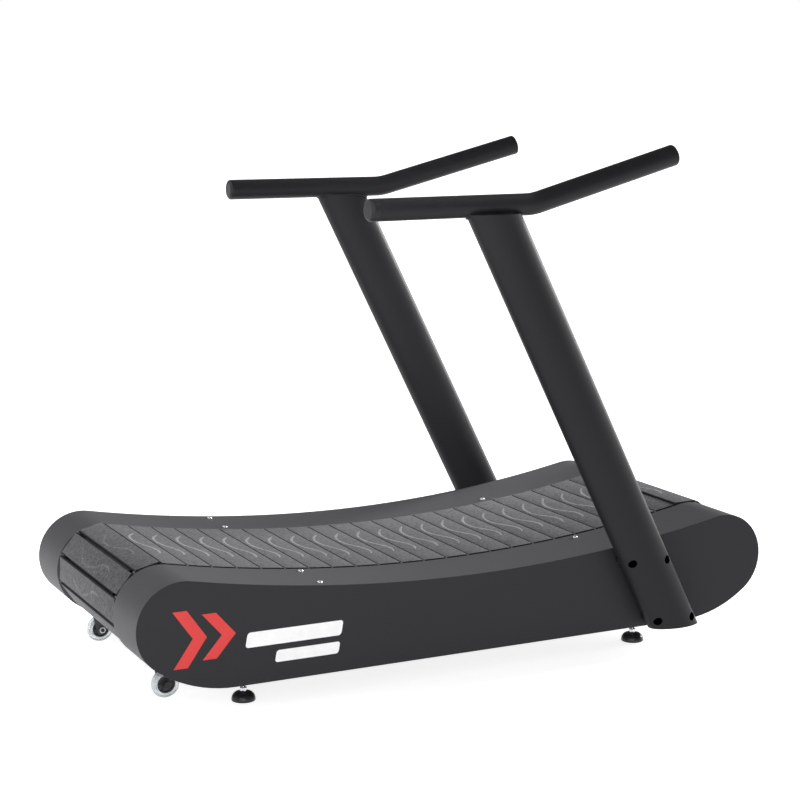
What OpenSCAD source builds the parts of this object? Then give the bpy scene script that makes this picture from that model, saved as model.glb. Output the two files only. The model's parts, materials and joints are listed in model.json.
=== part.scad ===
// Curved manual treadmill: a slatted endless belt that runs down a curved deck,
// in a low casing with two leaning uprights and two handlebars.
// +X is forward (the way the runner faces), +Y is the runner's left, +Z is up.
// The origin is on the floor under the middle of the casing.

/* [Casing] */
// Length of the casing
casing_l = 1800; // [1760:5:1840]
// Width over the two side panels
casing_w = 847.2; // [840:0.1:860]
// Height of the casing's flat underside above the floor
casing_floor = 56; // [54:1:60]
// Radius of the rounded ends
end_r = 118; // [116:1:120]
// Height of the centre of the rounded ends
end_z = 218; // [215:1:221]
// Radius of the concave top
top_r = 3973; // [3900:1:4050]
// Where the flat underside starts to curve up, from the middle
corner_x = 650; // [640:5:660]
// Thickness of the sheet metal
sheet = 3; // [2.5:0.5:3]
// Half width of the opening that the belt shows in
opening_half_w = 243; // [242:0.5:245]
// Depth of the turned-in edge of the top skins
flange_depth = 25; // [20:1:30]

/* [Frame] */
// Distance of the side rails' inner faces from the middle
rail_y = 251; // [250:0.5:253]
// Thickness of the side rails
rail_t = 6; // [5:0.5:6]
// How far the rails' edge lies inside the casing's outline
rail_inset = 8; // [6:0.5:10]
// Radius of the lightening holes in the rails
lightening_r = 36; // [30:1:38]
// Height of the cross tubes' centre
cross_z = 155; // [152:1:158]
// Size of the cross tubes along the frame
cross_l = 60; // [50:1:60]
// Height of the cross tubes
cross_h = 40; // [30:1:40]
// Side of the square tubes that carry the side panels
outrigger_size = 50; // [40:1:50]
// Wall of the box tubes
box_wall = 3; // [2:0.5:4]

/* [Belt] */
// Length of a slat across the belt
slat_len = 474; // [470:1:476]
// Width of a slat along the belt
slat_w = 62.8; // [62:0.1:63]
// Thickness of a slat's metal plate
plate_t = 4; // [3:0.5:4]
// Thickness of the rubber tread on a slat
tread_t = 8; // [7:0.5:8]
// Distance of the drums' centres from the middle
drum_x = 780; // [779:0.5:780]
// Radius of the line along which the slats ride on the drums
pitch_r = 103; // [102:0.5:103]
// How far the tread stands above the top skins
tread_proud = 2.5; // [1:0.5:3]
// How far back the belt rests, as a part of the distance between slats
belt_phase = 0.2; // [0:0.05:0.3]
// Angle at which the return run leaves the drums
sag_angle = 5.73; // [5:0.01:6]
// Thickness of the drive belts
belt_t = 7.7; // [7:0.1:7.7]
// Width of the drive belts
belt_w = 30; // [26:1:32]
// Distance of the drive belts' centre from the middle
belt_y = 209; // [207:1:210]

/* [Track rollers] */
// Rollers on each side
roller_count = 17; // [15:1:17]
// Spacing of the rollers along the deck
roller_pitch = 80; // [78:1:80]
// Radius of a roller
roller_r = 14; // [12:1:14]

/* [Uprights and handlebars] */
// Long side of the oval upright tube
oval_l = 134.5; // [132:0.5:136]
// Short side of the oval upright tube
oval_w = 80; // [78:1:82]
// Radius of the oval's tight ends
oval_end_r = 30; // [28:1:32]
// Wall of the upright tubes
oval_wall = 3; // [3:0.5:5]
// Rearward lean of the uprights in degrees
lean = 26.4; // [25:0.1:28]
// Place along the frame where the uprights' centre line is 100 mm above the floor
upright_x = 573; // [568:1:576]
// Height of the horizontal part of the handlebars
bar_z = 1206; // [1190:1:1220]
// Outer diameter of the handlebars
bar_d = 56; // [54:0.5:57]
// Wall of the handlebars
bar_wall = 3; // [2:0.5:4]
// Where the handlebars bend
bar_bend_x = 155; // [150:1:160]
// Distance of the bend from the middle
bar_bend_y = 446; // [444:1:448]
// Upward slope of the front part in degrees
bar_rise = 14.7; // [12:0.1:17]
// Inward slope of the handlebars towards the front in degrees
bar_toe = 2.7; // [2:0.1:3]
// Length of a handlebar behind its bend, with the end cap
rear_bar_len = 467.5; // [450:0.5:480]
// Length of a handlebar in front of its bend, with the end cap
front_bar_len = 448; // [430:1:460]

/* [Feet and wheels] */
// Place of the rear feet along the frame
rear_foot_x = -609; // [-615:1:-600]
// Place of the front feet along the frame
front_foot_x = 527; // [520:1:530]
// Distance of the feet from the middle
foot_y = 364; // [355:1:370]
// Radius of a foot pad
foot_r = 30; // [28:1:32]
// Place of the transport wheels along the frame
wheel_x = -779; // [-785:1:-770]
// Distance of the transport wheels from the middle
wheel_y = 270; // [269:1:272]
// Height of the transport wheels' centre
wheel_z = 40; // [38:1:42]
// Radius of a transport wheel
wheel_r = 36.5; // [35:0.5:37]
// Width of a transport wheel
wheel_w = 24; // [22:1:24]

/* [Hidden] */
$fn = 64;

LEFT = 1;
RIGHT = -1;
REAR = 0;
FRONT = 1;

// Colours
casing_black = "#2e2e31";
skin_grey = "#58595b";
tube_black = "#333336";
frame_grey = "#4a4c4f";
rubber_grey = "#5f5f61";
alloy = "#b4b6b8";
steel = "#c9ccd0";
plastic_black = "#1c1c1e";
clear_grey = "#d5d8da";

// Play left round bolts and screws, and between faces that only touch
hole_play = 0.1;
face_play = 0.2;

// Casing outline: a concave top, two rounded ends and two wide corners below them
panel_y = casing_w / 2;
end_x = casing_l / 2 - end_r;
arc_z = end_z + sqrt(pow(top_r + end_r, 2) - pow(end_x, 2));
top_angle = asin(end_x / (top_r + end_r));
corner_r = (pow(end_x - corner_x, 2) + pow(end_z - casing_floor, 2) - pow(end_r, 2))
    / (2 * (end_z - casing_floor - end_r));
corner_z = casing_floor + corner_r;
corner_angle = atan2(end_z - corner_z, end_x - corner_x);

// Belt path, measured along the line where the slats meet the drive belts
tread_out = plate_t + tread_t;
top_pitch_r = top_r - tread_proud + tread_out;
drum_z = arc_z - sqrt(pow(top_pitch_r + pitch_r, 2) - pow(drum_x, 2));
belt_top_angle = asin(drum_x / (top_pitch_r + pitch_r));
bottom_r = pitch_r + drum_x / sin(sag_angle);
bottom_z = drum_z + (bottom_r - pitch_r) * cos(sag_angle);
top_half_len = top_pitch_r * belt_top_angle * PI / 180;
wrap_len = pitch_r * (180 + belt_top_angle - sag_angle) * PI / 180;
bottom_half_len = bottom_r * sag_angle * PI / 180;
slats_top = 23;
slats_wrap = 5;
slats_bottom = 24;
slat_total = slats_top + 2 * slats_wrap + slats_bottom;
slat_pitch = 2 * (top_half_len + wrap_len + bottom_half_len) / slat_total;
top_last = (slats_top - 1) / 2;
wrap_last = top_last + slats_wrap;
bottom_last = wrap_last + slats_bottom;
tread_edge = 1.5;

// Bolts and nuts
bolt_r = 5;
bolt_hole_r = bolt_r + hole_play;
bolt_head_r = 8;
washer_r = 10;
washer_t = 2;

// Rails: lightening holes between the cross tubes, and the ear for the transport wheel
lightening_x = [-510, -420, -330, -130, -40, 50, 245, 335, 425];
wheel_ear_r = 14;
wheel_ear_top = 112;
wheel_ear_spread = [-30, 34];
cross_x = [rear_foot_x, -230, 150, front_foot_x];
outrigger_at = [[-560, 125], [577, 125], [500, 222]];

// Drive belts and drums
belt_join_gap = 2.5;
pulley_r = pitch_r - belt_t - 0.6;
pulley_w = belt_w + 4;
pulley_rim = 10;
pulley_web = 10;
pulley_hub_r = 26;
pulley_hub_w = 40;
pulley_hole_r = 16;
pulley_hole_at = 54;
axle_r = 15;
axle_end = rail_y + rail_t + 24;
rib_depth = 20;
rib_t = 5;
rib_half_len = 185;

// Two-bolt flange bearings
bearing_w = 20;
bearing_r = 32;
bearing_flange_r = 40;
bearing_flange_t = 9;
bearing_ear_r = 14;
bearing_bolt_gap = 58;
bearing_play = 0.05;
nut_r = 9;
nut_h = 7;

// Track rollers
roller_axis_r = top_pitch_r + belt_t + roller_r + 0.3;
roller_w = 20;
stud_r = 5;
stud_past = 3;

// Uprights, and the plates behind the side panels that they bolt to
function upright_axis_x(z) = upright_x - (z - 100) * tan(lean);
upright_y = panel_y + oval_w / 2;
upright_bottom = 62;
upright_top = bar_z - 20;
top_plate_t = 8;
foot_plate_t = 4;
cope_play = 0.3;
bolt_heights = [85.5, 252.5];
bolt_half_gap = 54;
boss_r = 12;
boss_len = 20;
access_r = 11;
far = 1000;
plate_t_inner = 10;
plate_bottom = 72;
plate_top = 272;
plate_half_l = 75;
plate_y = panel_y - sheet - plate_t_inner;
function bolt_places() = [for (z = bolt_heights, s = [-1, 1]) [upright_axis_x(z) + s * bolt_half_gap, z]];

// Handlebars
bar_r = bar_d / 2;
bend_r = 150;
bend_tangent = bend_r * tan(bar_rise / 2);
rear_cap_len = 20;
rear_cap_round = 9;
front_cap_len = 5;
front_cap_round = 2;
cap_plug_len = 25;
// The straight parts run this far into the bend, which is a hair thicker, so that the tube is one piece
weld_lap = 1;
bend_swell = 0.05;

// Top screws: place along the deck and distance from the middle
screw_places = [[-413, 270], [-413, 392], [400, 267]];
screw_r = 4;
screw_len = 16;
screw_head_r = 7;
screw_head_round = 3.4;
screw_head_rim = 0.8;

// Transport wheels
tyre_crown = 12;
hub_r = 23;
hub_w = 18;
hub_web = 7;
hub_bore_r = 8.5;
wheel_bearing_r = 11;
wheel_bearing_w = 8;
wheel_side = wheel_y + wheel_w / 2 + 0.3;

// Feet
foot_x = [rear_foot_x, front_foot_x];
bracket_z = 64;
bracket_t = 8;
bracket_l = 60;
stem_r = 6;
stem_hex_r = 9.8;
stem_top = 104;
lock_nut_r = 11;
lock_nut_h = 8;
pad_h = 24;
pad_rim_h = 4;
pad_dome_r = 19;
pad_neck_r = 11;

// Points along an arc, from angle a0 to angle a1 in n steps
function arc(centre, r, a0, a1, n) =
    [for (i = [0:n]) centre + r * [cos(a0 + (a1 - a0) * i / n), sin(a0 + (a1 - a0) * i / n)]];

function reversed(list) = [for (i = [len(list) - 1:-1:0]) list[i]];

function flipped(list) = [for (p = reversed(list)) [-p[0], p[1]]];

// Half of the casing's outline, from the middle of the underside to the middle of the top
function half_outline(inset) = concat(
    [[0, casing_floor + inset]],
    arc([corner_x, corner_z], corner_r - inset, -90, corner_angle, 10),
    arc([end_x, end_z], end_r - inset, corner_angle + 5, 90 + top_angle, 28),
    arc([0, arc_z], top_r + inset, -90 + top_angle - 0.6, -90, 18)
);

function outline(inset) = concat(half_outline(inset), flipped(half_outline(inset)));

// A curved strip between two radii
function strip(centre, r0, r1, a0, a1, n) =
    concat(arc(centre, r0, a0, a1, n), reversed(arc(centre, r1, a0, a1, n)));

// Extrudes a side view along Y, from y0 to y1
module along_y(y0, y1) {
    rotate([90, 0, 0])
        translate([0, 0, -y1])
            linear_extrude(y1 - y0)
                children();
}

// A cylinder along Y, from y0 to y1
module rod_y(x, z, r, y0, y1) {
    translate([x, y1, z])
        rotate([90, 0, 0])
            cylinder(r = r, h = y1 - y0);
}

// Draws its children on the left, or mirrored on the right
module on_side(side) {
    mirror([0, side == LEFT ? 0 : 1, 0])
        children();
}

module on_both_sides() {
    for (side = [LEFT, RIGHT])
        on_side(side)
            children();
}

// Places children on the deck's top surface, at x, with their Z along its normal
module on_deck(x, y) {
    translate([0, y, arc_z])
        rotate([0, -asin(x / top_r), 0])
            translate([0, 0, -top_r])
                children();
}

// ---- Frame ----

module rail_outline() {
    polygon(outline(rail_inset));
    // The ear that carries the transport wheel
    translate([wheel_x, wheel_z])
        circle(wheel_ear_r);
    translate([wheel_x, 0])
        polygon([
            [-wheel_ear_r, wheel_z], [wheel_ear_r, wheel_z],
            [wheel_ear_spread[1], wheel_ear_top], [wheel_ear_spread[0], wheel_ear_top]
        ]);
}

module rail(side) {
    on_side(side)
        color(frame_grey)
            along_y(rail_y, rail_y + rail_t)
                difference() {
                    rail_outline();
                    for (s = [-1, 1])
                        translate([s * drum_x, drum_z])
                            circle(axle_r + 5);
                    for (x = lightening_x)
                        translate([x, cross_z])
                            circle(lightening_r);
                    for (i = [0:roller_count - 1])
                        translate(roller_place(i))
                            circle(stud_r + hole_play);
                    for (s = [-1, 1], b = [-1, 1])
                        translate([s * drum_x, drum_z + b * bearing_bolt_gap])
                            circle(bolt_hole_r);
                    translate([wheel_x, wheel_z])
                        circle(bolt_hole_r);
                }
}

module left_rail() {
    rail(LEFT);
}

module right_rail() {
    rail(RIGHT);
}

module box_tube_y(x, z, l, h, y0, y1) {
    translate([x, 0, z])
        along_y(y0, y1)
            difference() {
                square([l, h], center = true);
                square([l - 2 * box_wall, h - 2 * box_wall], center = true);
            }
}

module cross_tubes() {
    color(frame_grey)
        for (x = cross_x)
            box_tube_y(x, cross_z, cross_l, cross_h, -rail_y, rail_y);
}

// Short tubes from the rails to the side panels, on both sides
module outrigger_tubes() {
    color(frame_grey)
        on_both_sides()
            for (p = outrigger_at)
                box_tube_y(p[0], p[1], outrigger_size, outrigger_size,
                    rail_y + rail_t, p[0] < 0 ? panel_y - sheet : plate_y);
}

module upright_plate(side) {
    on_side(side)
        color(frame_grey)
            along_y(plate_y, panel_y - sheet)
                difference() {
                    polygon([
                        [upright_axis_x(plate_bottom) - plate_half_l, plate_bottom],
                        [upright_axis_x(plate_bottom) + plate_half_l, plate_bottom],
                        [upright_axis_x(plate_top) + plate_half_l, plate_top],
                        [upright_axis_x(plate_top) - plate_half_l, plate_top]
                    ]);
                    for (p = bolt_places())
                        translate(p)
                            circle(bolt_hole_r);
                }
}

module left_upright_plate() {
    upright_plate(LEFT);
}

module right_upright_plate() {
    upright_plate(RIGHT);
}

// ---- Casing ----

module side_panel(side) {
    on_side(side)
        color(casing_black)
            along_y(panel_y - sheet, panel_y)
                difference() {
                    polygon(outline(0));
                    for (p = bolt_places())
                        translate(p)
                            circle(bolt_hole_r);
                }
}

module left_side_panel() {
    side_panel(LEFT);
}

module right_side_panel() {
    side_panel(RIGHT);
}

// The top skin wraps over the deck's edge and round both ends; it is open underneath
module skin(side) {
    on_side(side)
        color(skin_grey)
            difference() {
                union() {
                    along_y(opening_half_w, panel_y - sheet)
                        difference() {
                            polygon(outline(0));
                            polygon(outline(sheet));
                        }
                    along_y(opening_half_w, opening_half_w + sheet)
                        difference() {
                            polygon(outline(sheet / 2));
                            polygon(outline(flange_depth));
                        }
                }
                translate([10 - corner_x, 0, 0])
                    cube([2 * corner_x - 20, panel_y, casing_floor + flange_depth + 10]);
                // Slot for the rail's wheel ear
                translate([wheel_x + wheel_ear_spread[0] - 6, rail_y - 1, casing_floor - 6])
                    cube([
                        wheel_ear_spread[1] - wheel_ear_spread[0] + 12,
                        rail_t + 2,
                        wheel_ear_top - casing_floor + 9
                    ]);
                for (p = screw_places)
                    on_deck(p[0], p[1])
                        translate([0, 0, -10])
                            cylinder(r = screw_r + hole_play, h = 20);
            }
}

module left_skin() {
    skin(LEFT);
}

module right_skin() {
    skin(RIGHT);
}

// Domed screws that hold the skins down
module skin_screws() {
    color(steel)
        on_both_sides()
            for (p = screw_places)
                on_deck(p[0], p[1]) {
                    translate([0, 0, face_play])
                        rotate_extrude()
                            polygon(concat(
                                [[0, 0], [screw_head_r, 0]],
                                arc([screw_head_r - screw_head_round, screw_head_rim], screw_head_round, 0, 90, 6),
                                [[0, screw_head_round + screw_head_rim]]
                            ));
                    translate([0, 0, -screw_len])
                        cylinder(r = screw_r, h = screw_len + face_play);
                }
}

// ---- Uprights ----

// An oval of four arcs: two tight ends and two wide sides
module oval_outline(wall) {
    a = oval_l / 2;
    b = oval_w / 2;
    wide_r = (pow(a - oval_end_r, 2) + pow(b, 2) - pow(oval_end_r, 2)) / (2 * (b - oval_end_r));
    wide_angle = atan2(wide_r - b, a - oval_end_r);
    half = concat(
        arc([a - oval_end_r, 0], oval_end_r - wall, -wide_angle, wide_angle, 12),
        arc([0, b - wide_r], wide_r - wall, wide_angle + 3, 180 - wide_angle - 3, 14)
    );
    polygon(concat(half, [for (p = half) -p]));
}

// The part of the leaning oval between two heights
module oval_bar(wall, z0, z1) {
    intersection() {
        translate([upright_axis_x(0), upright_y, 0])
            rotate([0, -lean, 0])
                translate([0, 0, -far])
                    linear_extrude(3 * far)
                        oval_outline(wall);
        translate([-far, 0, z0])
            cube([3 * far, far, z1 - z0]);
    }
}

// An oval tube closed at both ends, with bosses for its bolts and its top coped round the handlebar
module upright(side) {
    on_side(side)
        color(tube_black)
            difference() {
                union() {
                    difference() {
                        oval_bar(0, upright_bottom, upright_top);
                        oval_bar(oval_wall, upright_bottom + foot_plate_t, bar_z - bar_r - top_plate_t);
                    }
                    for (p = bolt_places())
                        rod_y(p[0], p[1], boss_r, panel_y, panel_y + boss_len);
                }
                for (p = bolt_places()) {
                    rod_y(p[0], p[1], bolt_hole_r, panel_y - 1, panel_y + boss_len + 1);
                    rod_y(p[0], p[1], access_r, panel_y + boss_len, panel_y + oval_w + 1);
                }
                bar_path_solid(-cope_play);
            }
}

module left_upright() {
    upright(LEFT);
}

module right_upright() {
    upright(RIGHT);
}

// Bolt heads sit inside the uprights, behind the access holes
module upright_bolts() {
    head_y = panel_y + boss_len + washer_t;
    color(steel)
        on_both_sides()
            for (p = bolt_places())
                difference() {
                    union() {
                        rod_y(p[0], p[1], bolt_r, plate_y - 8, head_y);
                        rod_y(p[0], p[1], bolt_head_r, head_y, head_y + 10);
                    }
                    translate([p[0], head_y + 11, p[1]])
                        rotate([90, 0, 0])
                            cylinder(r = 4.6, h = 7, $fn = 6);
                }
}

module upright_washers() {
    color(steel)
        on_both_sides()
            for (p = bolt_places())
                translate([p[0], 0, p[1]])
                    along_y(panel_y + boss_len, panel_y + boss_len + washer_t)
                        difference() {
                            circle(washer_r);
                            circle(bolt_hole_r);
                        }
}

// ---- Handlebars ----

// Puts children at the bend of the left handlebar, with X along its horizontal part
module at_bar_bend() {
    translate([bar_bend_x, bar_bend_y, bar_z])
        rotate([0, 0, -bar_toe])
            children();
}

// The bar's section: hollow when wall is more than 0, and larger all round when it is less
module bar_section(wall, swell = 0) {
    difference() {
        circle((wall < 0 ? bar_r - wall : bar_r) + swell);
        if (wall > 0)
            circle(bar_r - wall - swell);
    }
}

// The whole bent bar, with that section
module bar_path_solid(wall) {
    at_bar_bend() {
        translate([rear_cap_len - rear_bar_len, 0, 0])
            rotate([0, 90, 0])
                linear_extrude(rear_bar_len - rear_cap_len - bend_tangent + weld_lap)
                    bar_section(wall);
        translate([-bend_tangent, 0, bend_r])
            rotate([90, 0, 0])
                rotate([0, 0, -90])
                    rotate_extrude(angle = bar_rise)
                        translate([bend_r, 0])
                            bar_section(wall, bend_swell);
        rotate([0, -bar_rise, 0])
            translate([bend_tangent - weld_lap, 0, 0])
                rotate([0, 90, 0])
                    linear_extrude(front_bar_len - front_cap_len - bend_tangent + weld_lap)
                        bar_section(wall);
    }
}

module left_handlebar() {
    color(tube_black)
        bar_path_solid(bar_wall);
}

module right_handlebar() {
    on_side(RIGHT)
        color(tube_black)
            bar_path_solid(bar_wall);
}

// A plug with a rounded head; its head starts at Z = 0
module bar_cap(head_len, round_r) {
    rotate_extrude()
        polygon(concat(
            [[0, -cap_plug_len], [bar_r - bar_wall, -cap_plug_len], [bar_r - bar_wall, 0], [bar_r, 0]],
            arc([bar_r - round_r, head_len - round_r], round_r, 0, 90, 8),
            [[0, head_len]]
        ));
}

module rear_bar_caps() {
    color(plastic_black)
        on_both_sides()
            at_bar_bend()
                translate([rear_cap_len - rear_bar_len, 0, 0])
                    rotate([0, -90, 0])
                        bar_cap(rear_cap_len, rear_cap_round);
}

module front_bar_caps() {
    color(plastic_black)
        on_both_sides()
            at_bar_bend()
                rotate([0, -bar_rise, 0])
                    translate([front_bar_len - front_cap_len, 0, 0])
                        rotate([0, 90, 0])
                            bar_cap(front_cap_len, front_cap_round);
}

// ---- Belt ----

// Places a slat of the top run; the slat's Z points out of the belt
module on_top_run(i) {
    translate([0, 0, arc_z])
        rotate([0, -(i - belt_phase) * slat_pitch / top_pitch_r * 180 / PI, 0])
            translate([0, 0, -top_pitch_r])
                children();
}

// Places a slat of a drum's wrap, on the front drum or mirrored on the rear one
module on_drum(i, front) {
    along = i + (front ? -belt_phase : belt_phase);
    angle = (along * slat_pitch - top_half_len) / pitch_r * 180 / PI - belt_top_angle;
    mirror([front ? 0 : 1, 0, 0])
        translate([drum_x, 0, drum_z])
            rotate([0, angle, 0])
                translate([0, 0, pitch_r])
                    children();
}

// Places a slat of the return run, with its tread facing down
module on_bottom_run(i) {
    from_middle = (slat_total / 2 + belt_phase - i) * slat_pitch;
    translate([0, 0, bottom_z])
        rotate([0, -from_middle / bottom_r * 180 / PI, 0])
            translate([0, 0, -bottom_r])
                rotate([0, 180, 0])
                    children();
}

// A slat's metal plate, with the rib that stiffens it between the drive belts
module slat() {
    translate([-slat_w / 2, -slat_len / 2, 0])
        cube([slat_w, slat_len, plate_t]);
    translate([-rib_t / 2, -rib_half_len, -rib_depth])
        cube([rib_t, 2 * rib_half_len, rib_depth]);
}

// The rubber tread on a slat
module tread() {
    w = slat_w / 2;
    along_y(-slat_len / 2, slat_len / 2)
        polygon([
            [-w, plate_t], [w, plate_t], [w, tread_out - tread_edge],
            [w - tread_edge, tread_out], [tread_edge - w, tread_out], [-w, tread_out - tread_edge]
        ]);
}

module top_slats() {
    color(alloy)
        for (i = [-top_last:top_last])
            on_top_run(i)
                slat();
}

module top_treads() {
    color(rubber_grey)
        for (i = [-top_last:top_last])
            on_top_run(i)
                tread();
}

module drum_slats(front) {
    color(alloy)
        for (i = [top_last + 1:wrap_last])
            on_drum(i, front)
                slat();
}

module drum_treads(front) {
    color(rubber_grey)
        for (i = [top_last + 1:wrap_last])
            on_drum(i, front)
                tread();
}

module front_slats() {
    drum_slats(true);
}

module front_treads() {
    drum_treads(true);
}

module rear_slats() {
    drum_slats(false);
}

module rear_treads() {
    drum_treads(false);
}

module bottom_slats() {
    color(alloy)
        for (i = [wrap_last + 1:bottom_last])
            on_bottom_run(i)
                slat();
}

module bottom_treads() {
    color(rubber_grey)
        for (i = [wrap_last + 1:bottom_last])
            on_bottom_run(i)
                tread();
}

// A pair of drive belts from a strip drawn in side view
module drive_belt_pair(points) {
    color(plastic_black)
        for (s = [-1, 1])
            along_y(s * belt_y - belt_w / 2, s * belt_y + belt_w / 2)
                polygon(points);
}

function degrees_of(length, r) = length / r * 180 / PI;

// How far the belt's resting place turns a strip that bends round a circle of radius r
function phase_turn(r) = degrees_of(belt_phase * slat_pitch, r);

module top_drive_belts() {
    half = belt_top_angle - degrees_of(belt_join_gap, top_pitch_r);
    middle = -90 - phase_turn(top_pitch_r);
    drive_belt_pair(strip([0, arc_z], top_pitch_r + face_play, top_pitch_r + belt_t,
        middle - half, middle + half, 44));
}

module drum_drive_belts(front) {
    gap = degrees_of(belt_join_gap, pitch_r);
    turn = phase_turn(pitch_r) * (front ? 1 : -1);
    mirror([front ? 0 : 1, 0, 0])
        drive_belt_pair(strip([drum_x, drum_z], pitch_r, pitch_r - belt_t,
            90 + belt_top_angle - gap + turn, -90 + sag_angle + gap + turn, 40));
}

module front_drive_belts() {
    drum_drive_belts(true);
}

module rear_drive_belts() {
    drum_drive_belts(false);
}

module bottom_drive_belts() {
    half = sag_angle - degrees_of(belt_join_gap, bottom_r);
    middle = -90 + phase_turn(bottom_r);
    drive_belt_pair(strip([0, bottom_z], bottom_r, bottom_r - belt_t, middle - half, middle + half, 24));
}

// ---- Drums and their bearings ----

module axle(x) {
    color(steel)
        rod_y(x, drum_z, axle_r, -axle_end, axle_end);
}

// A pulley on each side of the belt, with a hub and a web with holes
module pulleys(x) {
    color(alloy)
        for (s = [-1, 1])
            translate([x, 0, drum_z])
                difference() {
                    union() {
                        along_y(s * belt_y - pulley_w / 2, s * belt_y + pulley_w / 2)
                            difference() {
                                circle(pulley_r);
                                circle(pulley_r - pulley_rim);
                            }
                        along_y(s * belt_y - pulley_web / 2, s * belt_y + pulley_web / 2)
                            circle(pulley_r - pulley_rim / 2);
                        along_y(s * belt_y - pulley_hub_w / 2, s * belt_y + pulley_hub_w / 2)
                            circle(pulley_hub_r);
                    }
                    along_y(s * belt_y - pulley_hub_w, s * belt_y + pulley_hub_w) {
                        circle(axle_r);
                        for (a = [30:60:330])
                            rotate(a)
                                translate([pulley_hole_at, 0])
                                    circle(pulley_hole_r);
                    }
                }
}

module front_axle() {
    axle(drum_x);
}

module rear_axle() {
    axle(-drum_x);
}

module front_pulleys() {
    pulleys(drum_x);
}

module rear_pulleys() {
    pulleys(-drum_x);
}

// Two-bolt flange bearings on the outside of the rails
module bearing_pair(x) {
    color(frame_grey)
        on_both_sides()
            translate([x, 0, drum_z])
                difference() {
                    union() {
                        along_y(rail_y + rail_t, rail_y + rail_t + bearing_flange_t) {
                            circle(bearing_flange_r);
                            square([2 * bearing_ear_r, 2 * bearing_bolt_gap], center = true);
                            for (b = [-1, 1])
                                translate([0, b * bearing_bolt_gap])
                                    circle(bearing_ear_r);
                        }
                        along_y(rail_y + rail_t, rail_y + rail_t + bearing_w)
                            circle(bearing_r);
                    }
                    along_y(rail_y, rail_y + 2 * bearing_w) {
                        circle(axle_r + bearing_play);
                        for (b = [-1, 1])
                            translate([0, b * bearing_bolt_gap])
                                circle(bolt_hole_r);
                    }
                }
}

module front_bearings() {
    bearing_pair(drum_x);
}

module rear_bearings() {
    bearing_pair(-drum_x);
}

module bearing_bolts() {
    head_y = rail_y + rail_t + bearing_flange_t;
    color(steel)
        on_both_sides()
            for (s = [-1, 1], b = [-1, 1]) {
                rod_y(s * drum_x, drum_z + b * bearing_bolt_gap, bolt_r, rail_y - 2, head_y);
                translate([s * drum_x, head_y + nut_h, drum_z + b * bearing_bolt_gap])
                    rotate([90, 0, 0])
                        cylinder(r = nut_r, h = nut_h, $fn = 6);
            }
}

// ---- Track rollers ----

function roller_angle(i) = degrees_of((i - (roller_count - 1) / 2) * roller_pitch, roller_axis_r);

function roller_place(i) =
    [roller_axis_r * sin(roller_angle(i)), arc_z - roller_axis_r * cos(roller_angle(i))];

module track_rollers(side) {
    on_side(side)
        color(steel)
            along_y(belt_y - roller_w / 2, belt_y + roller_w / 2)
                for (i = [0:roller_count - 1])
                    translate(roller_place(i))
                        difference() {
                            circle(roller_r);
                            circle(stud_r + hole_play);
                        }
}

module left_track_rollers() {
    track_rollers(LEFT);
}

module right_track_rollers() {
    track_rollers(RIGHT);
}

module roller_studs() {
    color(steel)
        on_both_sides()
            for (i = [0:roller_count - 1])
                rod_y(roller_place(i)[0], roller_place(i)[1], stud_r,
                    belt_y - roller_w / 2 - stud_past, rail_y + rail_t + stud_past);
}

// ---- Transport wheels ----

module at_wheel(side) {
    on_side(side)
        translate([wheel_x, wheel_y, wheel_z])
            rotate([90, 0, 0])
                children();
}

// A rounded clear tyre
module wheel_tyre(side) {
    at_wheel(side)
        color(clear_grey)
            rotate_extrude()
                polygon(concat(
                    [[hub_r, -hub_w / 2]],
                    arc([wheel_r - tyre_crown, 0], tyre_crown, -90, 90, 16),
                    [[hub_r, hub_w / 2]]
                ));
}

module left_wheel_tyre() {
    wheel_tyre(LEFT);
}

module right_wheel_tyre() {
    wheel_tyre(RIGHT);
}

module wheel_hub(side) {
    at_wheel(side)
        color(plastic_black)
            rotate_extrude()
                polygon([
                    [wheel_bearing_r, -hub_w / 2], [hub_r, -hub_w / 2],
                    [hub_r, hub_w / 2], [wheel_bearing_r, hub_w / 2],
                    [wheel_bearing_r, hub_web / 2], [hub_bore_r, hub_web / 2],
                    [hub_bore_r, -hub_web / 2], [wheel_bearing_r, -hub_web / 2]
                ]);
}

module left_wheel_hub() {
    wheel_hub(LEFT);
}

module right_wheel_hub() {
    wheel_hub(RIGHT);
}

// Two bearings in each hub, one from each face
module wheel_bearings(side) {
    at_wheel(side)
        color(steel)
            for (z = [-hub_web / 2 - wheel_bearing_w, hub_web / 2])
                translate([0, 0, z])
                    linear_extrude(wheel_bearing_w)
                        difference() {
                            circle(wheel_bearing_r);
                            circle(bolt_r + bearing_play);
                        }
}

module left_wheel_bearings() {
    wheel_bearings(LEFT);
}

module right_wheel_bearings() {
    wheel_bearings(RIGHT);
}

// The bolts that the wheels turn on
module wheel_bolts() {
    color(steel)
        on_both_sides()
            translate([wheel_x, 0, wheel_z]) {
                rod_y(0, 0, bolt_r, rail_y - 10, wheel_side);
                rod_y(0, 0, bolt_head_r, wheel_side, wheel_side + 5);
            }
}

module wheel_nuts() {
    color(steel)
        on_both_sides()
            translate([wheel_x, 0, wheel_z])
                along_y(rail_y - nut_h, rail_y)
                    difference() {
                        circle(nut_r, $fn = 6);
                        circle(bolt_hole_r);
                    }
}

// ---- Levelling feet ----

module foot_brackets() {
    color(frame_grey)
        on_both_sides()
            for (x = foot_x)
                difference() {
                    translate([x - bracket_l / 2, rail_y + rail_t, bracket_z])
                        cube([bracket_l, panel_y - sheet - rail_y - rail_t, bracket_t]);
                    translate([x, foot_y, bracket_z - 1])
                        cylinder(r = stem_r + hole_play, h = bracket_t + 2);
                }
}

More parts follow.
